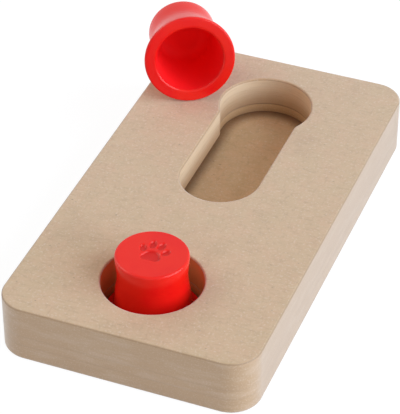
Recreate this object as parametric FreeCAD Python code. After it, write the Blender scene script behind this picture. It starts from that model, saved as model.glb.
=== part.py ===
"""Dog puzzle feeder: a glued three-layer board and two loose flanged cups.

Millimetres. The origin is the centre of the board's underside, +X runs across the board, +Y along it
towards the keyhole's wide end, and +Z is up. One cup stands over a treat in the round well. The other
has been lifted out of the keyhole track and lies on its side on the board.
"""
import FreeCAD
import Part
import math
import os

# Board outline and its three layers
board_width = 120.0
board_length = 220.0
board_corner_radius = 14.0
base_thickness = 8.0
channel_thickness = 5.0
top_thickness = 15.0
outer_edge_ease = 0.8
rim_edge_ease = 0.8

# Cup, with heights from the underside of its flange
cup_height = 34.4
mouth_radius = 16.2
bore_end_radius = 13.6
bore_end_corner = 3.5
crown_wall = 2.0
flange_thickness = 2.2
flange_flat = 0.9
root_rise = 2.2
cup_edge_ease = 0.7

# Flank of the cup: its walls at the foot and at the crown, and how far its middle is drawn in
skirt_wall = 2.0
crown_side_wall = 2.85
flank_draw = 3.0

# Well and keyhole track
well_clearance = 1.0
well_from_front = 40.0
well_left_of_centre = 0.8
keyhole_clearance = 0.3
keyhole_from_back = 38.0
track_travel = 61.5
track_clearance = 0.8
neck_radius = 6.0
channel_clearance = 0.6

# Resting place of the lifted cup on the top face
lifted_from_left = 15.3
lifted_from_back = 30.4
lifted_heading = 118.8
rest_gap = 0.3

# Values that follow
board_height = base_thickness + channel_thickness + top_thickness
well_y = well_from_front - board_length / 2
keyhole_y = board_length / 2 - keyhole_from_back
track_end_y = keyhole_y - track_travel
root_height = flange_thickness + root_rise
shoulder_height = cup_height - cup_edge_ease
bore_end_height = cup_height - crown_wall - bore_end_corner
skirt_radius = mouth_radius + skirt_wall
crown_radius = bore_end_radius + crown_side_wall
flange_radius = skirt_radius + root_rise + flange_flat + cup_edge_ease
well_radius = flange_radius + well_clearance
keyhole_radius = flange_radius + keyhole_clearance
track_radius = skirt_radius + track_clearance
channel_radius = flange_radius + channel_clearance
overrun = 1.0

UP = FreeCAD.Vector(0, 0, 1)


def point(x, y, z=0.0):
    """A point or a direction."""
    return FreeCAD.Vector(x, y, z)


def prism(wire, bottom, height):
    """Extrude a closed outline that is drawn at height zero."""
    solid = Part.Face(wire).extrude(UP * height)
    solid.translate(UP * bottom)
    return solid


def well_disc(bottom, height):
    """The upright cylinder that cuts the round well."""
    return Part.makeCylinder(well_radius, height, point(-well_left_of_centre, well_y, bottom), UP)


def blank(bottom, thickness):
    """One layer of the board: a rectangle with four rounded corners."""
    box = Part.makeBox(board_width, board_length, thickness,
                       point(-board_width / 2, -board_length / 2, bottom))
    corners = [edge for edge in box.Edges if is_upright(edge)]
    return box.makeFillet(board_corner_radius, corners)


def is_upright(edge):
    """Whether an edge runs along Z."""
    run = edge.Vertexes[-1].Point - edge.Vertexes[0].Point
    return abs(run.z) > 0 and abs(run.x) + abs(run.y) < 1e-6


def edges_at(solid, height):
    """The edges that lie wholly in one level plane."""
    level = 1e-6
    return [edge for edge in solid.Edges
            if abs(edge.BoundBox.ZMin - height) < level and abs(edge.BoundBox.ZMax - height) < level]


def rims_at(solid, height):
    """The edges of the holes in the level face at one height."""
    face = [f for f in solid.Faces if is_level(f, height)][0]
    return [edge for wire in face.Wires if not wire.isSame(face.OuterWire) for edge in wire.Edges]


def is_level(face, height):
    """Whether a face is flat and lies at one height."""
    level = 1e-6
    return abs(face.BoundBox.ZMin - height) < level and abs(face.BoundBox.ZMax - height) < level


def keyhole_outline():
    """The keyhole in the top layer: wide end, eased neck and narrow track with a round end."""
    reach = keyhole_radius + neck_radius
    offset = track_radius + neck_radius
    neck_y = keyhole_y - math.sqrt(reach ** 2 - offset ** 2)
    share = keyhole_radius / reach
    meet_x = offset * share
    meet_y = keyhole_y + (neck_y - keyhole_y) * share
    middle_angle = (math.pi + math.atan2(keyhole_y - neck_y, -offset)) / 2
    ease_x = offset + neck_radius * math.cos(middle_angle)
    ease_y = neck_y + neck_radius * math.sin(middle_angle)
    wide = Part.Arc(point(meet_x, meet_y), point(0, keyhole_y + keyhole_radius), point(-meet_x, meet_y))
    left_ease = Part.Arc(point(-meet_x, meet_y), point(-ease_x, ease_y), point(-track_radius, neck_y))
    left_side = Part.LineSegment(point(-track_radius, neck_y), point(-track_radius, track_end_y))
    end = Part.Arc(point(-track_radius, track_end_y), point(0, track_end_y - track_radius),
                   point(track_radius, track_end_y))
    right_side = Part.LineSegment(point(track_radius, track_end_y), point(track_radius, neck_y))
    right_ease = Part.Arc(point(track_radius, neck_y), point(ease_x, ease_y), point(meet_x, meet_y))
    curves = [wide, left_ease, left_side, end, right_side, right_ease]
    return Part.Wire([curve.toShape() for curve in curves])


def channel_outline():
    """The undercut in the middle layer: one flange wide from the keyhole's wide end to the track's end."""
    back = Part.Arc(point(channel_radius, keyhole_y), point(0, keyhole_y + channel_radius),
                    point(-channel_radius, keyhole_y))
    left = Part.LineSegment(point(-channel_radius, keyhole_y), point(-channel_radius, track_end_y))
    front = Part.Arc(point(-channel_radius, track_end_y), point(0, track_end_y - channel_radius),
                     point(channel_radius, track_end_y))
    right = Part.LineSegment(point(channel_radius, track_end_y), point(channel_radius, keyhole_y))
    return Part.Wire([curve.toShape() for curve in (back, left, front, right)])


def make_base_board():
    """The plain bottom layer: floor of the well and of the track."""
    board = blank(0, base_thickness)
    return board.makeChamfer(outer_edge_ease, edges_at(board, 0))


def make_channel_board():
    """The thin middle layer with the well and the flange's undercut."""
    board = blank(base_thickness, channel_thickness)
    low = base_thickness - overrun
    deep = channel_thickness + 2 * overrun
    board = board.cut(well_disc(low, deep))
    return board.cut(prism(channel_outline(), low, deep))


def make_top_board():
    """The thick top layer with the well, the keyhole and eased rims."""
    bottom = base_thickness + channel_thickness
    board = blank(bottom, top_thickness)
    board = board.makeChamfer(outer_edge_ease, edges_at(board, board_height))
    low = bottom - overrun
    deep = top_thickness + 2 * overrun
    board = board.cut(well_disc(low, deep))
    board = board.cut(prism(keyhole_outline(), low, deep))
    return board.makeChamfer(rim_edge_ease, rims_at(board, board_height))


def cup_flank():
    """The bell-shaped flank, drawn in to a waist and flared again towards the crown."""
    foot = point(skirt_radius, 0, root_height)
    shoulder = point(crown_radius, 0, shoulder_height)
    flank = Part.BezierCurve()
    flank.setPoles([foot, (foot + shoulder) / 2 - point(flank_draw, 0), shoulder])
    return flank


def cup_corners():
    """The straight runs of the cup's half outline, from the flank's top round the bore to its foot."""
    ceiling = cup_height - crown_wall
    edge = cup_edge_ease
    return [
        point(crown_radius, 0, shoulder_height),
        point(crown_radius - edge, 0, cup_height),
        point(0, 0, cup_height),
        point(0, 0, ceiling),
        point(bore_end_radius - bore_end_corner, 0, ceiling),
        point(bore_end_radius, 0, bore_end_height),
        point(mouth_radius, 0, edge),
        point(mouth_radius + edge, 0, 0),
        point(flange_radius - edge, 0, 0),
        point(flange_radius, 0, edge),
        point(flange_radius, 0, flange_thickness - edge),
        point(flange_radius - edge, 0, flange_thickness),
        point(skirt_radius + root_rise, 0, flange_thickness),
        point(skirt_radius, 0, root_height),
    ]


def make_cup():
    """A hollow cup, mouth down on the origin: a wide flange, a drawn-in waist and a flat crown."""
    corners = cup_corners()
    curves = [cup_flank()] + [Part.LineSegment(a, b) for a, b in zip(corners, corners[1:])]
    outline = Part.Wire([curve.toShape() for curve in curves])
    return Part.Face(outline).revolve(point(0, 0, 0), UP, 360)


def make_front_cup():
    """The cup that stands in the round well."""
    cup = make_cup()
    cup.translate(point(-well_left_of_centre, well_y, base_thickness))
    return cup


def make_rear_cup():
    """The cup that was lifted out of the track and lies on the board, mouth towards the front."""
    cup = make_cup()
    cup.translate(UP * (-cup_height / 2))
    span = shoulder_height - flange_thickness / 2
    droop = math.degrees(math.atan2(flange_radius - crown_radius, span))
    cup.rotate(point(0, 0, 0), point(0, 1, 0), 90 + droop)
    cup.rotate(point(0, 0, 0), UP, lifted_heading)
    place_x = lifted_from_left - board_width / 2
    place_y = board_length / 2 - lifted_from_back
    lowest = cup.optimalBoundingBox().ZMin
    cup.translate(point(place_x, place_y, board_height + rest_gap - lowest))
    return cup


def main():
    """Write each piece to its own file."""
    os.makedirs("parts", exist_ok=True)
    pieces = {
        "base_board": make_base_board(),
        "channel_board": make_channel_board(),
        "top_board": make_top_board(),
        "front_cup": make_front_cup(),
        "rear_cup": make_rear_cup(),
    }
    for name, shape in pieces.items():
        shape.exportStep(os.path.join("parts", name + ".step"))
        box = shape.optimalBoundingBox()
        print(name, shape.isValid(), len(shape.Solids), round(shape.Volume), "mm3",
              [round(v, 2) for v in (box.XMin, box.YMin, box.ZMin, box.XMax, box.YMax, box.ZMax)])


main()
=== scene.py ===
"""The finish of a two-cup puzzle feeder: sanded fibreboard layers and glossy moulded cups."""
from __future__ import annotations

import logging
import math
from dataclasses import dataclass, field
from enum import Enum
from functools import partial
from typing import Callable, Union

import bmesh
import bpy
from mathutils import Matrix, Vector


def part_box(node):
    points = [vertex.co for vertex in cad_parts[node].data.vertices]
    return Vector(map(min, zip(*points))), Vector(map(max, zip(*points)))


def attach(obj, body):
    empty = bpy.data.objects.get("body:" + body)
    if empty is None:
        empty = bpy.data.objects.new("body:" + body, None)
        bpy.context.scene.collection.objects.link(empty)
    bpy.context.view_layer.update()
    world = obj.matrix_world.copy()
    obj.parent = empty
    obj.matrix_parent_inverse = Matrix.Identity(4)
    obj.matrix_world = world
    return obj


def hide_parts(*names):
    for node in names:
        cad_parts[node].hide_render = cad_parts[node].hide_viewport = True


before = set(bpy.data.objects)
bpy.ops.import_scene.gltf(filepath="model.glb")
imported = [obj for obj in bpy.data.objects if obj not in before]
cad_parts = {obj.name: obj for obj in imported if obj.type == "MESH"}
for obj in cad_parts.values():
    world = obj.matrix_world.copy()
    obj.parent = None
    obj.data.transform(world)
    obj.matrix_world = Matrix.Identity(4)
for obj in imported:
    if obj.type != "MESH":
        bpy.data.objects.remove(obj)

LOG = logging.getLogger("puzzle_feeder")
MM = 0.001
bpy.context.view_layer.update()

Axes = tuple[float, float, float]
Colour = tuple[float, float, float]
Operand = Union["Signal", float]


def srgb(red: int, green: int, blue: int) -> Colour:
    """Turn a display colour into the linear colour that shaders use.

    Args:
        red: red level from 0 to 255.
        green: green level from 0 to 255.
        blue: blue level from 0 to 255.

    Returns:
        The linear red, green and blue levels, from 0 to 1.
    """
    def linear(level: int) -> float:
        """Undo the display curve of one channel."""
        value = level / 255
        return value / 12.92 if value <= 0.04045 else ((value + 0.055) / 1.055) ** 2.4
    return linear(red), linear(green), linear(blue)


def add_piece(name: str, bm: bmesh.types.BMesh) -> bpy.types.Object:
    """Turn a mesh into an object of the scene, and free the mesh.

    Args:
        name: the object's name.
        bm: the finished mesh, in metres.

    Returns:
        The new object, at the origin.
    """
    mesh = bpy.data.meshes.new(name)
    bm.to_mesh(mesh)
    bm.free()
    piece = bpy.data.objects.new(name, mesh)
    bpy.context.scene.collection.objects.link(piece)
    return piece


class Signal:
    """A shader value that can stand in a Python sum."""

    def __init__(self, graph: "Graph", socket: bpy.types.NodeSocket) -> None:
        """Keep the output socket and the graph it belongs to.

        Args:
            graph: the graph of a material or world, which adds the maths nodes.
            socket: the output socket that carries the value.
        """
        self.graph = graph
        self.socket = socket

    def __add__(self, other: Operand) -> "Signal":
        """Add a value or another signal."""
        return self.graph.math("ADD", self, other)

    def __radd__(self, other: Operand) -> "Signal":
        """Add this signal to a value on its left."""
        return self.graph.math("ADD", other, self)

    def __sub__(self, other: Operand) -> "Signal":
        """Take a value or another signal away."""
        return self.graph.math("SUBTRACT", self, other)

    def __rsub__(self, other: Operand) -> "Signal":
        """Take this signal away from a value on its left."""
        return self.graph.math("SUBTRACT", other, self)

    def __mul__(self, other: Operand) -> "Signal":
        """Multiply by a value or another signal."""
        return self.graph.math("MULTIPLY", self, other)

    def __rmul__(self, other: Operand) -> "Signal":
        """Multiply a value on the left by this signal."""
        return self.graph.math("MULTIPLY", other, self)

    def __abs__(self) -> "Signal":
        """The distance from zero."""
        return self.graph.math("ABSOLUTE", self)

    def least(self, other: Operand) -> "Signal":
        """The smaller of this signal and another."""
        return self.graph.math("MINIMUM", self, other)

    def most(self, other: Operand) -> "Signal":
        """The larger of this signal and another."""
        return self.graph.math("MAXIMUM", self, other)


@dataclass(frozen=True)
class Noise:
    """A noise: features per metre, all round or by axis, finer octaves and how strong they are."""

    scale: float | Axes
    detail: float
    roughness: float


@dataclass(frozen=True)
class Pattern(Noise):
    """A noise with the band of its values in which it comes up, and how strongly it then shows."""

    band: tuple[float, float]
    share: float = 1.0


class Graph:
    """The node tree of one material or world, built from signals."""

    def __init__(self, owner: bpy.types.Material | bpy.types.World) -> None:
        """Empty the tree of a material or world.

        Args:
            owner: the material or world.
        """
        self.owner = owner
        owner.use_nodes = True
        self.tree = owner.node_tree
        self.tree.nodes.clear()

    def node(self, kind: str, settings: dict[str, object] | None = None,
             inputs: dict[str | int, object] | None = None) -> bpy.types.Node:
        """Add one node, give it its settings, then fill or link its sockets.

        Args:
            kind: the node's type, such as ShaderNodeTexNoise.
            settings: attributes of the node, set before its sockets are used.
            inputs: values, signals or output sockets by input name or index.

        Returns:
            The new node.
        """
        node = self.tree.nodes.new(kind)
        for key, value in (settings or {}).items():
            setattr(node, key, value)
        for key, value in (inputs or {}).items():
            if isinstance(value, Signal):
                self.tree.links.new(value.socket, node.inputs[key])
            elif isinstance(value, bpy.types.NodeSocket):
                self.tree.links.new(value, node.inputs[key])
            else:
                node.inputs[key].default_value = value
        return node

    def signal(self, node: bpy.types.Node, output: str | int = 0) -> Signal:
        """Wrap one output of a node."""
        return Signal(self, node.outputs[output])

    def math(self, operation: str, *values: Operand) -> Signal:
        """Add a Math node.

        Args:
            operation: the Math node's operation.
            values: its operands, as signals or numbers.

        Returns:
            The result as a signal.
        """
        inputs = dict(enumerate(values))
        return self.signal(self.node("ShaderNodeMath", {"operation": operation}, inputs))

    def rise(self, value: Signal, low: float, high: float) -> Signal:
        """A smooth step from 0 at low to 1 at high.

        Args:
            value: the signal that is measured.
            low: where the step starts.
            high: where the step ends, which may be below low.

        Returns:
            The step as a signal from 0 to 1.
        """
        node = self.node("ShaderNodeMapRange", {"interpolation_type": "SMOOTHSTEP"},
                         {"Value": value, "From Min": low, "From Max": high})
        return self.signal(node, "Result")

    def noise(self, place: Signal, noise: Noise) -> Signal:
        """Noise around 0.5, even or stretched.

        Args:
            place: the position signal.
            noise: the noise's settings.

        Returns:
            The noise value as a signal.
        """
        scale = noise.scale
        if isinstance(scale, tuple):
            stretch = self.node("ShaderNodeMapping", None, {"Vector": place, "Scale": scale})
            place = self.signal(stretch)
            scale = 1.0
        node = self.node("ShaderNodeTexNoise", None, {
            "Vector": place, "Scale": scale, "Detail": noise.detail, "Roughness": noise.roughness})
        return self.signal(node, "Fac")

    def shown(self, place: Signal, pattern: Pattern) -> Signal:
        """How strongly a pattern shows at each place.

        Args:
            place: the position signal.
            pattern: the pattern.

        Returns:
            A signal from 0 to the pattern's share.
        """
        return self.rise(self.noise(place, pattern), *pattern.band) * pattern.share

    def mix(self, factor: Operand, first: object, second: object) -> Signal:
        """Blend two colours.

        Args:
            factor: 0 for the first colour and 1 for the second.
            first: the first colour, as a signal or a linear colour.
            second: the second colour, as a signal or a linear colour.

        Returns:
            The blended colour as a signal.
        """
        colours = [(*c, 1.0) if isinstance(c, tuple) else c for c in (first, second)]
        node = self.node("ShaderNodeMix", {"data_type": "RGBA"},
                         {0: factor, 6: colours[0], 7: colours[1]})
        return self.signal(node, 2)

    def position(self) -> Signal:
        """The place on the piece, in metres."""
        return self.signal(self.node("ShaderNodeTexCoord"), "Object")

    def axes(self, vector: Signal) -> tuple[Signal, Signal, Signal]:
        """Split a vector signal into X, Y and Z."""
        node = self.node("ShaderNodeSeparateXYZ", None, {0: vector})
        return self.signal(node, 0), self.signal(node, 1), self.signal(node, 2)

    def distance(self, place: Signal, centre: Axes, scale: Axes) -> Signal:
        """How far a place is from a centre.

        Args:
            place: the position signal.
            centre: the centre, in metres.
            scale: how much each axis counts.

        Returns:
            The distance, in metres.
        """
        apart = self.node("ShaderNodeVectorMath", {"operation": "SUBTRACT"}, {0: place, 1: centre})
        level = self.node("ShaderNodeVectorMath", {"operation": "MULTIPLY"},
                          {0: apart.outputs[0], 1: scale})
        length = self.node("ShaderNodeVectorMath", {"operation": "LENGTH"}, {0: level.outputs[0]})
        return self.signal(length, "Value")

    def bump(self, height: Signal, distance: float, strength: float) -> Signal:
        """A surface normal that follows a height signal.

        Args:
            height: the height, where 1 is the full distance.
            distance: the height of 1, in metres.
            strength: how much of the bump is shown.

        Returns:
            The bumped normal.
        """
        node = self.node("ShaderNodeBump", None, {"Height": height, "Distance": distance,
                                                  "Strength": strength})
        return self.signal(node)

    def surface(self, inputs: dict[str | int, object]) -> bpy.types.Material:
        """Finish the material with one Principled shader.

        Args:
            inputs: the shader's socket values and signals.

        Returns:
            The finished material.
        """
        shader = self.node("ShaderNodeBsdfPrincipled", None, inputs)
        self.node("ShaderNodeOutputMaterial", None, {"Surface": shader.outputs[0]})
        return self.owner


@dataclass(frozen=True)
class FibreBoardFinish:
    """Medium density fibreboard, one layer of a glued stack. Lengths are in metres."""

    name: str
    low: float
    high: float
    face: Colour = srgb(203, 171, 131)
    rosy: Colour = srgb(203, 166, 127)
    sandy: Colour = srgb(197, 165, 124)
    fibre: Colour = srgb(164, 129, 92)
    pale: Colour = srgb(230, 212, 190)
    speck: Colour = srgb(88, 64, 44)
    core: Colour = srgb(185, 147, 104)
    skin: Colour = srgb(132, 104, 80)
    haze: float = 0.8

    # Patterns of the sanded faces, from broad to fine
    clouds: Pattern = Pattern(75.0, 4.0, 0.65, (0.36, 0.64))
    blotches: Pattern = Pattern(210.0, 3.0, 0.6, (0.38, 0.66), 0.6)
    smudges: Pattern = Pattern(30.0, 4.0, 0.6, (0.52, 0.74), 0.26)
    fibres_across: Pattern = Pattern((220.0, 800.0, 700.0), 3.0, 0.65, (0.48, 0.76), 0.36)
    fibres_along: Pattern = Pattern((700.0, 260.0, 700.0), 3.0, 0.65, (0.50, 0.78), 0.34)
    face_lint: Pattern = Pattern(900.0, 3.0, 0.6, (0.52, 0.74), 0.36)
    specks: Pattern = Pattern((420.0, 900.0, 700.0), 1.0, 0.4, (0.77, 0.82), 0.5)

    # Patterns of the cut edges
    streaks: Noise = Noise((45.0, 45.0, 1500.0), 3.0, 0.6)
    streak_band: tuple[float, float] = (0.44, 0.78)
    streak_share: float = 0.30
    planing: Pattern = Pattern((60.0, 60.0, 330.0), 3.0, 0.6, (0.46, 0.70), 0.12)
    edge_lint: Pattern = Pattern(1300.0, 3.0, 0.65, (0.5, 0.72), 0.28)

    # Darker skin at the layer's two faces, where it is glued
    seam: float = 0.16
    seam_depth: float = 0.8 * MM
    seam_floor: float = 0.4

    # Painted shade: a darker line where the board's rounded outline turns from edge to face
    edge_turn_shade: float = 0.36
    outline_lead: float = 50.0 * MM
    outline_band: tuple[float, float] = (100.0 * MM, 105.0 * MM)
    turn_start: tuple[float, float] = (0.15, 0.5)
    turn_end: tuple[float, float] = (0.8, 0.98)
    face_band: tuple[float, float] = (0.55, 0.95)

    # Painted shade that deepens down a bored wall
    depth_shade: Colour = srgb(146, 94, 44)
    depth_shade_share: float = 0.0
    depth_shade_start: float = 3.0 * MM

    # Painted red bounce light from the cup on the wall of the round well
    well_bounce_tint: Colour = srgb(200, 138, 72)
    well_bounce_share: float = 0.0
    well_centre: Axes = (-0.8 * MM, -70.0 * MM, 0.0)
    well_bounce_reach: tuple[float, float] = (26.0 * MM, 24.0 * MM)

    # Track's floor: painted shade under the overhang
    recess_shade: Colour = srgb(96, 58, 26)
    recess_shade_share: float = 0.0
    recess_shade_reach: tuple[float, float] = (14.5 * MM, 22.0 * MM)
    track_ends: tuple[float, float] = (10.5 * MM, 72.0 * MM)

    # Feel of the surface
    felt: Noise = Noise(480.0, 4.0, 0.7)
    fuzz: Noise = Noise(1700.0, 2.0, 0.6)
    nap_height: float = 0.10 * MM
    nap_strength: float = 0.4
    streak_relief: float = 0.3
    roughness: float = 0.54
    roughness_spread: float = 0.25
    bare_specular: float = 0.2
    haze_specular: float = 0.4
    sheen_roughness: float = 0.5

    def mottling(self, g: Graph, place: Signal) -> Signal:
        """The colour of the sanded faces: soft clouds, felted fibres and a few dark specks.

        Args:
            g: the material's graph.
            place: the position signal.

        Returns:
            The face colour.
        """
        colour = g.mix(g.shown(place, self.clouds), self.sandy, self.rosy)
        for pattern, tint in ((self.blotches, self.face), (self.smudges, self.fibre),
                              (self.fibres_across, self.fibre), (self.fibres_along, self.fibre),
                              (self.face_lint, self.pale), (self.specks, self.speck)):
            colour = g.mix(g.shown(place, pattern), colour, tint)
        return colour

    def shaded_recess(self, g: Graph, place: Signal, colour: Signal) -> Signal:
        """The track's floor, with painted shade under the overhang of the layer above.

        Args:
            g: the material's graph.
            place: the position signal.
            colour: the clean floor's colour.

        Returns:
            The floor's colour.
        """
        x, y, _ = g.axes(place)
        beside = y - y.most(self.track_ends[0]).least(self.track_ends[1])
        out = g.math("SQRT", x * x + beside * beside)
        # Painted shade: darker under the overhang
        return g.mix(g.rise(out, *self.recess_shade_reach) * self.recess_shade_share, colour, self.recess_shade)

    def cut_edge(self, g: Graph, place: Signal, streaks: Signal) -> Signal:
        """The colour of sawn and bored edges: a streaky core with a darker skin where it is glued.

        Args:
            g: the material's graph.
            place: the position signal.
            streaks: long fine streaks along the layers.

        Returns:
            The edge colour, with painted shade deepening down the wall and painted red bounce light
            on the well's wall where the finish has them.
        """
        _, _, z = g.axes(place)
        streaky = g.rise(streaks, *self.streak_band) * self.streak_share
        colour = g.mix(streaky, self.core, self.fibre)
        for pattern in (self.planing, self.edge_lint):
            colour = g.mix(g.shown(place, pattern), colour, self.pale)
        # Painted shade: the wall darkens towards the bottom of the hole
        if self.depth_shade_share:
            sunk = g.rise(z, self.high - self.depth_shade_start, self.low)
            colour = g.mix(sunk * self.depth_shade_share, colour, self.depth_shade)
        # Painted reflection: red light bounced from the cup, near the well
        if self.well_bounce_share:
            near = g.rise(g.distance(place, self.well_centre, (1.0, 1.0, 0.0)), *self.well_bounce_reach)
            colour = g.mix(near * self.well_bounce_share, colour, self.well_bounce_tint)
        depth = (z - self.low).least(self.high - z)
        patchy = self.seam_floor + (1.0 - self.seam_floor) * streaks
        dense = g.rise(depth, self.seam_depth, 0.0) * patchy
        return g.mix(dense * self.seam, colour, self.skin)

    def edge_turn_shade_mask(self, g: Graph, place: Signal, steepness: Signal) -> Signal:
        """Where painted shade darkens the board's outer edge as it turns over from its side to its
        face.

        Args:
            g: the material's graph.
            place: the position signal.
            steepness: the upright share of the normal, from 0 on an edge to 1 on a face.

        Returns:
            A signal from 0 to 1, which is 0 at the rims of the openings.
        """
        x, y, _ = g.axes(place)
        outer = g.rise((abs(x) + self.outline_lead).most(abs(y)), *self.outline_band)
        return (g.rise(steepness, *self.turn_start) - g.rise(steepness, *self.turn_end)) * outer

    def build(self) -> bpy.types.Material:
        """Make the material.

        Returns:
            The layer's material, with one colour for level faces and another for cut edges.
        """
        g = Graph(bpy.data.materials.new(self.name))
        place = g.position()
        steepness = abs(g.axes(g.signal(g.node("ShaderNodeNewGeometry"), "Normal"))[2])
        flat = g.rise(steepness, *self.face_band)
        streaks = g.noise(place, self.streaks)
        face = self.mottling(g, place)
        if self.recess_shade_share:
            face = self.shaded_recess(g, place, face)
        colour = g.mix(flat, self.cut_edge(g, place, streaks), face)
        # Painted shade along the rounded outer edge, in the skin colour
        line = self.edge_turn_shade_mask(g, place, steepness) * self.edge_turn_shade
        felt = g.noise(place, self.felt)
        nap = (felt + g.noise(place, self.fuzz)) * 0.5 + (1.0 - flat) * streaks * self.streak_relief
        return g.surface({
            "Base Color": g.mix(line, colour, self.skin),
            "Roughness": self.roughness + (felt - 0.5) * self.roughness_spread,
            "Specular IOR Level": self.bare_specular + self.haze_specular * self.haze,
            "Sheen Weight": self.haze,
            "Sheen Roughness": self.sheen_roughness,
            "Normal": g.bump(nap, self.nap_height, self.nap_strength),
        })


@dataclass(frozen=True)
class MouldedPlasticFinish:
    """Bright injection-moulded plastic with a fine moulded skin."""

    name: str = "moulded_red"
    body: Colour = (0.90, 0.012, 0.006)
    deep: Colour = (0.86, 0.005, 0.006)
    # Painted shade: the paw print's recessed pads are darker red
    pad: Colour = (0.60, 0.001, 0.002)
    # Painted light: the bore is paler than the body to brighten its shaded inside
    bore: Colour = (0.985, 0.006, 0.009)
    cloud: Noise = Noise(60.0, 2.0, 0.5)
    grain: Noise = Noise(900.0, 2.0, 0.6)
    deep_band: tuple[float, float] = (0.35, 0.68)
    pad_shade_share: float = 0.7
    roughness: float = 0.20
    cloud_roughness: float = 0.06
    grain_roughness: float = 0.04
    pad_roughness: float = 0.15
    bore_roughness: float = 0.52
    specular: float = 0.36
    specular_tint: Colour = (1.0, 0.84, 0.72)
    grain_height: float = 0.02 * MM
    grain_strength: float = 0.15

    def build(self) -> bpy.types.Material:
        """Make the material.

        Returns:
            The cups' material. The mesh's attributes darken the pads with painted shade and make
            the bore duller.
        """
        g = Graph(bpy.data.materials.new(self.name))
        place = g.position()
        relief, bore = (g.signal(g.node("ShaderNodeAttribute", {"attribute_name": name}), "Fac")
                        for name in (CupMesh.RELIEF, CupMesh.BORE))
        cloud, grain = g.noise(place, self.cloud), g.noise(place, self.grain)
        colour = g.mix(g.rise(cloud, *self.deep_band), self.body, self.deep)
        # Painted light inside the bore
        colour = g.mix(bore, colour, self.bore)
        # Painted shade in the pads
        colour = g.mix(relief * self.pad_shade_share, colour, self.pad)
        uneven = (cloud - 0.5) * self.cloud_roughness + (grain - 0.5) * self.grain_roughness
        duller = relief * self.pad_roughness + bore * self.bore_roughness
        return g.surface({
            "Base Color": colour,
            "Roughness": self.roughness + uneven + duller,
            "Specular IOR Level": self.specular,
            "Specular Tint": (*self.specular_tint, 1.0),
            "Normal": g.bump(grain, self.grain_height, self.grain_strength),
        })


@dataclass(frozen=True)
class Pad:
    """One oval pad of the moulded paw print, in millimetres and degrees on the crown."""

    centre: tuple[float, float]
    radii: tuple[float, float]
    turn: float = 0.0

    def cover(self, x: float, y: float) -> float:
        """How far a point lies inside the pad.

        Args:
            x: the point's place across the crown.
            y: the point's place along the crown.

        Returns:
            A rough distance inside the pad's edge in millimetres, negative outside it.
        """
        angle = math.radians(self.turn)
        dx, dy = x - self.centre[0], y - self.centre[1]
        u = (dx * math.cos(angle) + dy * math.sin(angle)) / self.radii[0]
        v = (dy * math.cos(angle) - dx * math.sin(angle)) / self.radii[1]
        return (1.0 - math.hypot(u, v)) * min(self.radii)


def mirrored(pad: Pad) -> Pad:
    """The same pad on the other side of the paw."""
    return Pad((-pad.centre[0], pad.centre[1]), pad.radii, -pad.turn)


OUTER_TOE = Pad((5.3, 0.9), (1.45, 2.15), -24.0)
INNER_TOE = Pad((2.05, 4.3), (1.5, 2.4), -7.0)
PALM_LOBE = Pad((2.3, -4.3), (2.1, 1.9), 20.0)
PALM_CENTRE = Pad((0.0, -3.0), (3.7, 3.1))


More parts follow.
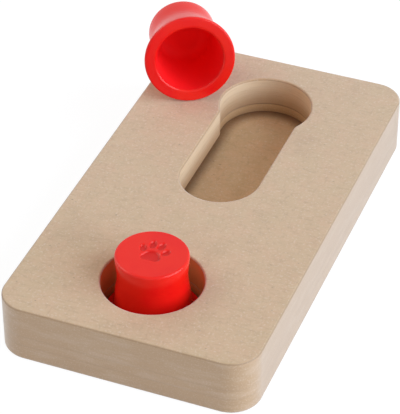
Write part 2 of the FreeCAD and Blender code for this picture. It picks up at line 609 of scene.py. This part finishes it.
@dataclass
class CupMesh:
    """A hollow cup turned from one outline, mouth down, in millimetres."""

    RELIEF = "relief"
    BORE = "bore"
    NEAR = 0.01
    WELD = 0.001

    height: float = 34.4
    mouth_radius: float = 16.2
    mouth_edge: float = 1.2
    bore_end_radius: float = 13.6
    bore_end_fillet: float = 5.0
    crown_wall: float = 2.0
    flange_radius: float = 22.0
    flange_thickness: float = 2.2
    flange_edge: float = 0.8
    crown_radius: float = 16.41
    crown_edge: float = 1.0
    skirt_radius: float = 17.4
    skirt_height: float = 12.9
    waist_radius: float = 14.95
    waist_height: float = 22.7
    crown_straight: float = 3.6
    steps: int = 168
    edge_steps: int = 5
    flank_steps: int = 30
    corner_steps: int = 7
    mouth_steps: int = 6
    ceiling_rings: int = 6
    bore_rings: int = 12
    flange_rings: int = 4
    ring: float = 0.3
    pad_depth: float = 0.8
    pad_slope: float = 0.45
    pad_offset: float = 2.0
    pads: list[Pad] = field(default_factory=lambda: [
        PALM_CENTRE, PALM_LOBE, mirrored(PALM_LOBE), OUTER_TOE, mirrored(OUTER_TOE), INNER_TOE,
        mirrored(INNER_TOE)])

    def quarter(self, start: Vector, corner: Vector, end: Vector, count: int) -> list[Vector]:
        """Points of a quarter arc, without its first point.

        Args:
            start: where the arc starts.
            corner: where the straight edges would meet.
            end: where the arc ends.
            count: how many pieces the arc has.

        Returns:
            The points after the start, up to the end.
        """
        centre = start + end - corner
        turns = [i / count * math.pi / 2 for i in range(1, count + 1)]
        return [centre + (start - centre) * math.cos(t) + (end - centre) * math.sin(t)
                for t in turns]

    def line(self, start: Vector, end: Vector, count: int) -> list[Vector]:
        """Evenly spaced points of a straight run, without its first point."""
        return [start.lerp(end, i / count) for i in range(1, count + 1)]

    def flank(self, count: int) -> list[Vector]:
        """Points of the bell-shaped flank, a cubic curve pulled by six points.

        Args:
            count: how many pieces the curve has.

        Returns:
            The points after the flange's edge, up to the crown's shoulder.
        """
        shoulder = self.height - self.crown_edge
        pulls = [Vector((self.flange_radius - self.flange_edge, self.flange_thickness)),
                 Vector((self.skirt_radius, self.flange_thickness)),
                 Vector((self.skirt_radius, self.skirt_height)),
                 Vector((self.waist_radius, self.waist_height)),
                 Vector((self.crown_radius, shoulder - self.crown_straight)),
                 Vector((self.crown_radius, shoulder))]
        degree = 3
        spans = len(pulls) - degree
        knots = [0.0] * degree + [i / spans for i in range(spans + 1)] + [1.0] * degree

        def blend(index: int, order: int, at: float) -> float:
            """The weight of one pull at one place on the curve.

            Args:
                index: which pull.
                order: how many times the spans are blended.
                at: the place, from 0 to 1.

            Returns:
                The weight, from 0 to 1.
            """
            if order == 0:
                return 1.0 if knots[index] <= at < knots[index + 1] else 0.0
            weight = 0.0
            left = knots[index + order] - knots[index]
            right = knots[index + order + 1] - knots[index + 1]
            if left > 0:
                weight += (at - knots[index]) / left * blend(index, order - 1, at)
            if right > 0:
                weight += (knots[index + order + 1] - at) / right * blend(index + 1, order - 1, at)
            return weight

        points = []
        for i in range(1, count):
            total = Vector((0.0, 0.0))
            for index, pull in enumerate(pulls):
                total += pull * blend(index, degree, i / count)
            points.append(total)
        return points + [pulls[-1]]

    def outline(self) -> list[Vector]:
        """The cup's closed half outline.

        Returns:
            Radius and height pairs, from the crown's centre outside to the crown's centre inside.
        """
        top = self.height
        ceiling = top - self.crown_wall
        soft = self.flange_edge
        rim = self.flange_radius
        thick = self.flange_thickness
        lip = self.mouth_radius + self.mouth_edge
        points = [Vector((rim - soft, 0.0))]
        points += self.quarter(points[-1], Vector((rim, 0.0)), Vector((rim, soft)), self.edge_steps)
        points += self.line(points[-1], Vector((rim, thick - soft)), 1)
        points += self.quarter(points[-1], Vector((rim, thick)), Vector((rim - soft, thick)),
                               self.edge_steps)
        points += self.flank(self.flank_steps)
        crown = Vector((self.crown_radius - self.crown_edge, top))
        points += self.quarter(points[-1], Vector((self.crown_radius, top)), crown,
                               self.corner_steps)
        points += self.line(crown, Vector((0.0, top)), round(crown.x / self.ring))
        inner = [Vector((0.0, ceiling))]
        turn = Vector((self.bore_end_radius - self.bore_end_fillet, ceiling))
        inner += self.line(inner[-1], turn, self.ceiling_rings)
        bore_end = Vector((self.bore_end_radius, ceiling - self.bore_end_fillet))
        inner += self.quarter(turn, Vector((self.bore_end_radius, ceiling)), bore_end,
                              self.corner_steps)
        inner += self.line(bore_end, Vector((self.mouth_radius, self.mouth_edge)), self.bore_rings)
        inner += self.quarter(inner[-1], Vector((self.mouth_radius, 0.0)), Vector((lip, 0.0)),
                              self.mouth_steps)
        inner += self.line(inner[-1], points[0], self.flange_rings)
        return points + inner[:-1]

    def in_bore(self, co: Vector) -> bool:
        """Whether a point lies on the cup's inner wall.

        Args:
            co: the point on the standing cup, in millimetres.

        Returns:
            True inside the bore, past the rounding of its mouth.
        """
        bore_end = self.height - self.crown_wall - self.bore_end_fillet
        share = (co.z - self.mouth_edge) / (bore_end - self.mouth_edge)
        radius = self.mouth_radius + (self.bore_end_radius - self.mouth_radius) * min(share, 1.0)
        ceiling = self.height - self.crown_wall
        return co.xy.length < radius + 5 * self.NEAR and self.NEAR < co.z < ceiling + self.NEAR

    def relief_at(self, x: float, y: float) -> float:
        """How deep the paw print is at one place on the crown.

        Args:
            x: the place across the crown.
            y: the place along the crown.

        Returns:
            The depth, from 0 on the crown to 1 at the floor of a pad.
        """
        cover = max(pad.cover(x, y - self.pad_offset) for pad in self.pads)
        share = min(max(cover / self.pad_slope + 0.5, 0.0), 1.0)
        return share * share * (3.0 - 2.0 * share)

    def build(self, name: str, place: Matrix) -> bpy.types.Object:
        """Turn the cup, press the paw print into its crown and put it in its place.

        Args:
            name: the piece's name.
            place: the matrix from the standing cup, in metres, to where the piece lies.

        Returns:
            The finished cup.
        """
        bm = bmesh.new()
        outline = self.outline()
        ring = [bm.verts.new((p.x, 0.0, p.y)) for p in outline]
        crown_end = next(i for i, p in enumerate(outline) if p.x == 0.0)
        edges = [bm.edges.new((a, b)) for i, (a, b) in enumerate(zip(ring, ring[1:]))
                 if i != crown_end]
        edges.append(bm.edges.new((ring[-1], ring[0])))
        bmesh.ops.spin(bm, geom=ring + edges, cent=(0, 0, 0), axis=(0, 0, 1), angle=math.tau,
                       steps=self.steps, use_merge=True, use_duplicate=False)
        bmesh.ops.remove_doubles(bm, verts=bm.verts[:], dist=self.WELD)
        bmesh.ops.dissolve_degenerate(bm, dist=self.WELD, edges=bm.edges[:])
        bmesh.ops.recalc_face_normals(bm, faces=bm.faces[:])
        relief = bm.verts.layers.float.new(self.RELIEF)
        bore = bm.verts.layers.float.new(self.BORE)
        for vert in bm.verts:
            vert[bore] = float(self.in_bore(vert.co))
            if vert.co.z > self.height - self.NEAR:
                vert[relief] = self.relief_at(vert.co.x, vert.co.y)
                vert.co.z -= self.pad_depth * vert[relief]
        bmesh.ops.scale(bm, vec=(MM, MM, MM), verts=bm.verts[:])
        bmesh.ops.transform(bm, matrix=place, verts=bm.verts[:])
        for face in bm.faces:
            face.smooth = True
        return add_piece(name, bm)


@dataclass
class Cups:
    """The two loose cups: one in the well and one on its side."""

    slot: str = "red_plastic"
    heading: float = 118.8
    droop: float = 9.66
    contact_gap: float = 0.02 * MM
    shape: CupMesh = field(default_factory=CupMesh)

    def standing_place(self) -> Matrix:
        """Where the front cup stands: on the axis of its node, on the well's floor."""
        low, high = (Vector(corner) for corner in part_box("front_cup"))
        return Matrix.Translation(((low.x + high.x) / 2, (low.y + high.y) / 2, low.z))

    def lying_place(self) -> Matrix:
        """Where the rear cup lies: on the board, resting on flange and crown, where its node is.

        Returns:
            The matrix from the standing cup to the lying one.
        """
        tip = Matrix.Rotation(math.pi / 2 + math.radians(self.droop), 4, "Y")
        turn = Matrix.Rotation(math.radians(self.heading), 4, "Z") @ tip
        spokes = [math.tau * i / self.shape.steps for i in range(self.shape.steps)]
        reach = [turn @ Vector((p.x * math.cos(t), p.x * math.sin(t), p.y)) * MM
                 for p in self.shape.outline() for t in spokes]
        near = Vector([min(r[i] for r in reach) for i in range(3)])
        far = Vector([max(r[i] for r in reach) for i in range(3)])
        low, high = (Vector(corner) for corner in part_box("rear_cup"))
        move = (low + high - near - far) / 2
        move.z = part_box("top_board")[1][2] + self.contact_gap - near.z
        return Matrix.Translation(move) @ turn

    def build(self) -> list[bpy.types.Object]:
        """Make both cups, dress them and set them on their bodies.

        Returns:
            The two cups.
        """
        material = MouldedPlasticFinish().build()
        pieces = []
        for node, place in (("front_cup", self.standing_place()), ("rear_cup", self.lying_place())):
            piece = self.shape.build(node + "_moulding", place)
            piece.data.materials.append(material)
            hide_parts(node)
            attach(piece, node)
            pieces.append(piece)
        return pieces


class Hole(Enum):
    """The openings that a layer can have."""

    WELL = "well"
    KEYHOLE = "keyhole"
    CHANNEL = "channel"


@dataclass(frozen=True)
class HolePlan:
    """Where the openings lie and how large they are, in millimetres."""

    well_centre: tuple[float, float] = (-0.8, -70.0)
    well_radius: float = 23.0
    keyhole_y: float = 72.0
    keyhole_radius: float = 22.3
    track_end_y: float = 10.5
    track_radius: float = 19.0
    neck_radius: float = 6.0
    channel_radius: float = 22.6
    circle_steps: int = 128
    weld: float = 0.001

    def arc(self, bm: bmesh.types.BMesh, start: tuple[float, float], centre: tuple[float, float],
            turn: float) -> list[bmesh.types.BMVert]:
        """Sweep one vertex round a centre.

        Args:
            bm: the mesh that gets the arc's edges.
            start: where the arc starts.
            centre: its centre.
            turn: how far it turns, in radians, positive for left.

        Returns:
            The arc's vertices in order.
        """
        first = bm.verts.new((*start, 0.0))
        steps = max(2, round(abs(turn) / math.tau * self.circle_steps))
        swept = bmesh.ops.spin(bm, geom=[first], cent=(*centre, 0.0), axis=(0, 0, 1), angle=turn,
                               steps=steps)
        bm.verts.ensure_lookup_table()
        last = swept["geom_last"][0]
        chain, seen = [first], {first}
        while chain[-1] is not last:
            step = next(e.other_vert(chain[-1]) for e in chain[-1].link_edges
                        if e.other_vert(chain[-1]) not in seen)
            chain.append(step)
            seen.add(step)
        return chain

    def close(self, bm: bmesh.types.BMesh, chains: list[list[bmesh.types.BMVert]]) -> None:
        """Join the ends of arcs into one closed loop.

        Args:
            bm: the mesh that holds the arcs.
            chains: the arcs in order round the loop.
        """
        for chain, following in zip(chains, chains[1:] + chains[:1]):
            if (chain[-1].co - following[0].co).length < self.weld:
                bmesh.ops.pointmerge(bm, verts=[chain[-1], following[0]], merge_co=chain[-1].co)
            else:
                bm.edges.new((chain[-1], following[0]))

    def draw(self, bm: bmesh.types.BMesh, hole: Hole) -> None:
        """Draw one opening's outline as a closed loop of edges at height zero.

        Args:
            bm: the mesh that gets the loop.
            hole: which opening to draw.
        """
        if hole is Hole.WELL:
            x, y = self.well_centre
            bmesh.ops.create_circle(bm, segments=self.circle_steps, radius=self.well_radius,
                                    matrix=Matrix.Translation((x, y, 0.0)))
        elif hole is Hole.CHANNEL:
            r = self.channel_radius
            back = self.arc(bm, (r, self.keyhole_y), (0.0, self.keyhole_y), math.pi)
            front = self.arc(bm, (-r, self.track_end_y), (0.0, self.track_end_y), math.pi)
            self.close(bm, [back, front])
        else:
            self.draw_keyhole(bm)

    def draw_keyhole(self, bm: bmesh.types.BMesh) -> None:
        """Draw the keyhole: wide end, eased neck and narrow track.

        Args:
            bm: the mesh that gets the loop.
        """
        reach = self.keyhole_radius + self.neck_radius
        offset = self.track_radius + self.neck_radius
        neck_y = self.keyhole_y - math.sqrt(reach ** 2 - offset ** 2)
        lean = math.atan2(self.keyhole_y - neck_y, offset)
        meet = (self.keyhole_radius * math.cos(lean),
                self.keyhole_y - self.keyhole_radius * math.sin(lean))
        wide = self.arc(bm, meet, (0.0, self.keyhole_y), math.pi + 2 * lean)
        left = self.arc(bm, (-meet[0], meet[1]), (-offset, neck_y), -lean)
        end = self.arc(bm, (-self.track_radius, self.track_end_y), (0.0, self.track_end_y), math.pi)
        right = self.arc(bm, (self.track_radius, neck_y), (offset, neck_y), -lean)
        self.close(bm, [wide, left, end, right])


@dataclass
class LayerMesh:
    """One flat layer of the board with openings and, on one side, rounded edges, in millimetres."""

    NEAR = 0.01
    LEVEL = 0.98
    SHARP = math.radians(60)

    holes: tuple[Hole, ...]
    rounded_top: bool = False
    rounded_foot: bool = False
    corner_radius: float = 14.0
    corner_steps: int = 20
    ease: float = 1.0
    ease_steps: int = 4
    glued_ease: float = 0.35
    glued_steps: int = 2
    plan: HolePlan = field(default_factory=HolePlan)

    def build(self, name: str, low: Vector, high: Vector) -> bpy.types.Object:
        """Cut the layer out, round its edges and put it between two corners.

        Args:
            name: the piece's name.
            low: the layer's lowest corner, in metres.
            high: its highest corner, in metres.

        Returns:
            The finished layer.
        """
        low, high = low / MM, high / MM
        bm = bmesh.new()
        bmesh.ops.create_grid(bm, x_segments=1, y_segments=1, size=0.5)
        bmesh.ops.scale(bm, vec=(high.x - low.x, high.y - low.y, 1.0), verts=bm.verts[:])
        bmesh.ops.bevel(bm, geom=bm.verts[:], offset=self.corner_radius, offset_type="OFFSET",
                        segments=self.corner_steps, profile=0.5, affect="VERTICES", material=-1)
        bmesh.ops.delete(bm, geom=bm.faces[:], context="FACES_ONLY")
        for hole in self.holes:
            self.plan.draw(bm, hole)
        bmesh.ops.triangle_fill(bm, use_beauty=True, use_dissolve=False, edges=bm.edges[:])
        raised = bmesh.ops.extrude_face_region(bm, geom=bm.faces[:], use_keep_orig=True)["geom"]
        bmesh.ops.translate(bm, vec=(0.0, 0.0, high.z - low.z),
                            verts=[v for v in raised if isinstance(v, bmesh.types.BMVert)])
        bmesh.ops.translate(bm, vec=(0.0, 0.0, low.z), verts=bm.verts[:])
        bmesh.ops.recalc_face_normals(bm, faces=bm.faces[:])
        self.round_edges(bm, low, high)
        self.mark_raw(bm, high)
        bmesh.ops.scale(bm, vec=(MM, MM, MM), verts=bm.verts[:])
        for face in bm.faces:
            face.smooth = True
        piece = add_piece(name, bm)
        weighted = piece.modifiers.new("even_normals", "WEIGHTED_NORMAL")
        weighted.keep_sharp = True
        return piece

    def round_edges(self, bm: bmesh.types.BMesh, low: Vector, high: Vector) -> None:
        """Round the edges that are handled, ease the glued rims and keep the glued outline sharp.

        Args:
            bm: the layer's mesh.
            low: the layer's lowest corner.
            high: its highest corner.
        """
        for level, rounded in ((high.z, self.rounded_top), (low.z, self.rounded_foot)):
            edges = [e for e in bm.edges if e.calc_face_angle(0.0) > self.SHARP
                     and all(abs(v.co.z - level) < self.NEAR for v in e.verts)]
            rims = [e for e in edges if all(self.is_inside(v.co, high) for v in e.verts)]
            if rounded:
                self.bevel(bm, edges, self.ease, self.ease_steps)
            else:
                for edge in edges:
                    edge.smooth = False
                self.bevel(bm, rims, self.glued_ease, self.glued_steps)

    def is_inside(self, co: Vector, high: Vector) -> bool:
        """Whether a point lies further inside the outline than its round corners reach."""
        return all(abs(co[i]) < high[i] - self.corner_radius for i in (0, 1))

    def mark_raw(self, bm: bmesh.types.BMesh, high: Vector) -> None:
        """Give the second material to what was never sanded: bored walls and the track's floor.

        Args:
            bm: the layer's mesh.
            high: the layer's highest corner.
        """
        rim = high.z - self.ease if self.rounded_top else high.z
        for face in bm.faces:
            middle = face.calc_center_median()
            bored = abs(face.normal.z) < self.LEVEL and middle.z < rim
            wall = bored and self.is_inside(middle, high)
            floor = not self.holes and face.normal.z > self.LEVEL
            if wall or floor:
                face.material_index = 1

    def bevel(self, bm: bmesh.types.BMesh, edges: list[bmesh.types.BMEdge], width: float,
              count: int) -> None:
        """Round a set of edges."""
        bmesh.ops.bevel(bm, geom=edges, offset=width, offset_type="OFFSET", segments=count,
                        profile=0.5, affect="EDGES", material=-1)


@dataclass
class Board:
    """The glued stack of three fibreboard layers, sanded outside and raw where it is bored; the raw
    finishes hold painted light and painted shade.
    """

    slot: str = "fibreboard"
    layers: dict[str, LayerMesh] = field(default_factory=lambda: {
        "base_board": LayerMesh((), rounded_foot=True),
        "channel_board": LayerMesh((Hole.WELL, Hole.CHANNEL)),
        "top_board": LayerMesh((Hole.WELL, Hole.KEYHOLE), rounded_top=True),
    })
    raw: dict[str, Callable[..., FibreBoardFinish]] = field(default_factory=lambda: {
        # Painted light: the raw colours are paler than the sanded ones to brighten the shaded floor
        # and walls inside the holes
        "base_board": partial(FibreBoardFinish, face=srgb(216, 181, 140), rosy=srgb(216, 176, 133),
                              sandy=srgb(208, 174, 131), fibre=srgb(176, 142, 103),
                              recess_shade_share=0.75, haze=0.0),
        "channel_board": partial(FibreBoardFinish, core=srgb(206, 170, 126), seam=0.8,
                                 depth_shade_share=0.35, depth_shade_start=0.0, well_bounce_share=0.9, haze=0.0),
        "top_board": partial(FibreBoardFinish, core=srgb(228, 200, 163), seam=0.8, depth_shade_share=0.54,
                             well_bounce_share=0.9, haze=0.0),
    })

    def build(self) -> list[bpy.types.Object]:
        """Make each layer and dress it with its sanded and its raw finish.

        Returns:
            The three layers.
        """
        pieces = []
        for node, layer in self.layers.items():
            low, high = (Vector(corner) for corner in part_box(node))
            piece = layer.build(node + "_layer", low, high)
            for kind, finish in (("sanded", FibreBoardFinish), ("raw", self.raw[node])):
                piece.data.materials.append(finish(f"{node}_{kind}", low.z, high.z).build())
            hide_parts(node)
            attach(piece, "board")
            pieces.append(piece)
        return pieces


@dataclass(frozen=True)
class Lamp:
    """One square soft box that faces the object."""

    name: str
    direction: Axes
    distance: float
    side: float
    level: float
    colour: Colour = (1.0, 1.0, 1.0)

    def build(self, target: Vector) -> bpy.types.Object:
        """Hang the lamp.

        Args:
            target: the point that the lamp faces.

        Returns:
            The lamp. Its level is how brightly it lights a white card at the target.
        """
        data = bpy.data.lights.new(self.name, "AREA")
        data.size = self.side
        data.energy = self.level * math.pi ** 2 * self.distance ** 2
        data.color = self.colour
        lamp = bpy.data.objects.new(self.name, data)
        toward = Vector(self.direction).normalized()
        lamp.location = target + toward * self.distance
        lamp.rotation_euler = toward.to_track_quat("Z", "Y").to_euler()
        bpy.context.scene.collection.objects.link(lamp)
        return lamp


@dataclass
class Studio:
    """White floor and room, two soft boxes and the camera at the photograph's angle."""

    azimuth: float = 21.45
    elevation: float = 38.06
    distance: float = 974.4 * MM
    target: Axes = (-0.27 * MM, -14.53 * MM, 28.0 * MM)
    lens: float = 185.69
    view_end: float = 20.0
    ambient: float = 0.37
    white: Colour = (1.0, 1.0, 1.0)
    paint: Colour = (0.86, 0.86, 0.86)
    floor_side: float = 6.0
    floor_gap: float = 0.02 * MM
    floor_glow: float = 1.08
    floor_share: float = 0.16
    lamps: tuple[Lamp, ...] = (
        Lamp("key_right", (0.90, -0.05, 0.40), 2.8, 2.8, 1.17, (0.91, 1.06, 1.29)),
        Lamp("left_soft", (-0.75, -0.02, 0.66), 2.6, 1.8, 0.38),
    )

    def camera(self) -> bpy.types.Object:
        """Set up the camera.

        Returns:
            The camera, which becomes the scene's own.
        """
        azimuth, elevation = math.radians(self.azimuth), math.radians(self.elevation)
        out = math.cos(elevation)
        back = Vector((math.sin(azimuth) * out, -math.cos(azimuth) * out, math.sin(elevation)))
        data = bpy.data.cameras.new("camera")
        data.lens = self.lens
        data.clip_end = self.view_end
        camera = bpy.data.objects.new("camera", data)
        camera.location = Vector(self.target) + back * self.distance
        camera.rotation_euler = back.to_track_quat("Z", "Y").to_euler()
        bpy.context.scene.collection.objects.link(camera)
        bpy.context.scene.camera = camera
        return camera

    def seen(self, g: Graph) -> Signal:
        """1 for what the camera sees, straight or mirrored, and 0 for what lights the object."""
        path = g.node("ShaderNodeLightPath")
        return g.signal(path, "Is Camera Ray").most(g.signal(path, "Is Glossy Ray"))

    def floor_finish(self) -> bpy.types.Material:
        """A white that reads as pure white to the camera and still takes a faint shadow.

        Returns:
            The floor's material.
        """
        g = Graph(bpy.data.materials.new("white_floor"))
        paint = g.node("ShaderNodeBsdfDiffuse", None, {"Color": (*self.paint, 1.0)})
        light = g.node("ShaderNodeEmission", None, {"Color": (*self.white, 1.0),
                                                    "Strength": self.floor_glow})
        both = g.node("ShaderNodeMixShader", None, {0: self.seen(g) * (1.0 - self.floor_share),
                                                    1: paint.outputs[0], 2: light.outputs[0]})
        g.node("ShaderNodeOutputMaterial", None, {"Surface": both.outputs[0]})
        return g.owner

    def floor(self) -> bpy.types.Object:
        """Lay the white floor just under the board.

        Returns:
            The floor.
        """
        bm = bmesh.new()
        bmesh.ops.create_grid(bm, x_segments=1, y_segments=1, size=self.floor_side / 2)
        bmesh.ops.translate(bm, vec=(0.0, 0.0, -self.floor_gap), verts=bm.verts[:])
        floor = add_piece("floor", bm)
        floor.data.materials.append(self.floor_finish())
        return floor

    def world(self) -> bpy.types.World:
        """Light the room evenly and show it white.

        Returns:
            The scene's world.
        """
        g = Graph(bpy.data.worlds.new("studio"))
        strength = self.seen(g) * (1.0 - self.ambient) + self.ambient
        background = g.node("ShaderNodeBackground", None, {"Color": (*self.white, 1.0),
                                                           "Strength": strength})
        g.node("ShaderNodeOutputWorld", None, {"Surface": background.outputs[0]})
        bpy.context.scene.world = g.owner
        return g.owner

    def build(self) -> None:
        """Make the whole studio."""
        self.world()
        self.floor()
        self.camera()
        for lamp in self.lamps:
            lamp.build(Vector(self.target))
        bpy.context.scene.view_settings.view_transform = "Standard"


def main() -> None:
    """Build the sub-assemblies and the studio, and report each piece."""
    logging.basicConfig(level=logging.INFO, format="%(name)s: %(message)s")
    builders: dict[str, Callable[[], list[bpy.types.Object]]] = {
        "board": Board().build,
        "cups": Cups().build,
    }
    for name, build in builders.items():
        for piece in build():
            LOG.info("%s: %s with %d faces", name, piece.name, len(piece.data.polygons))
    Studio().build()


if __name__ == "__main__":
    main()
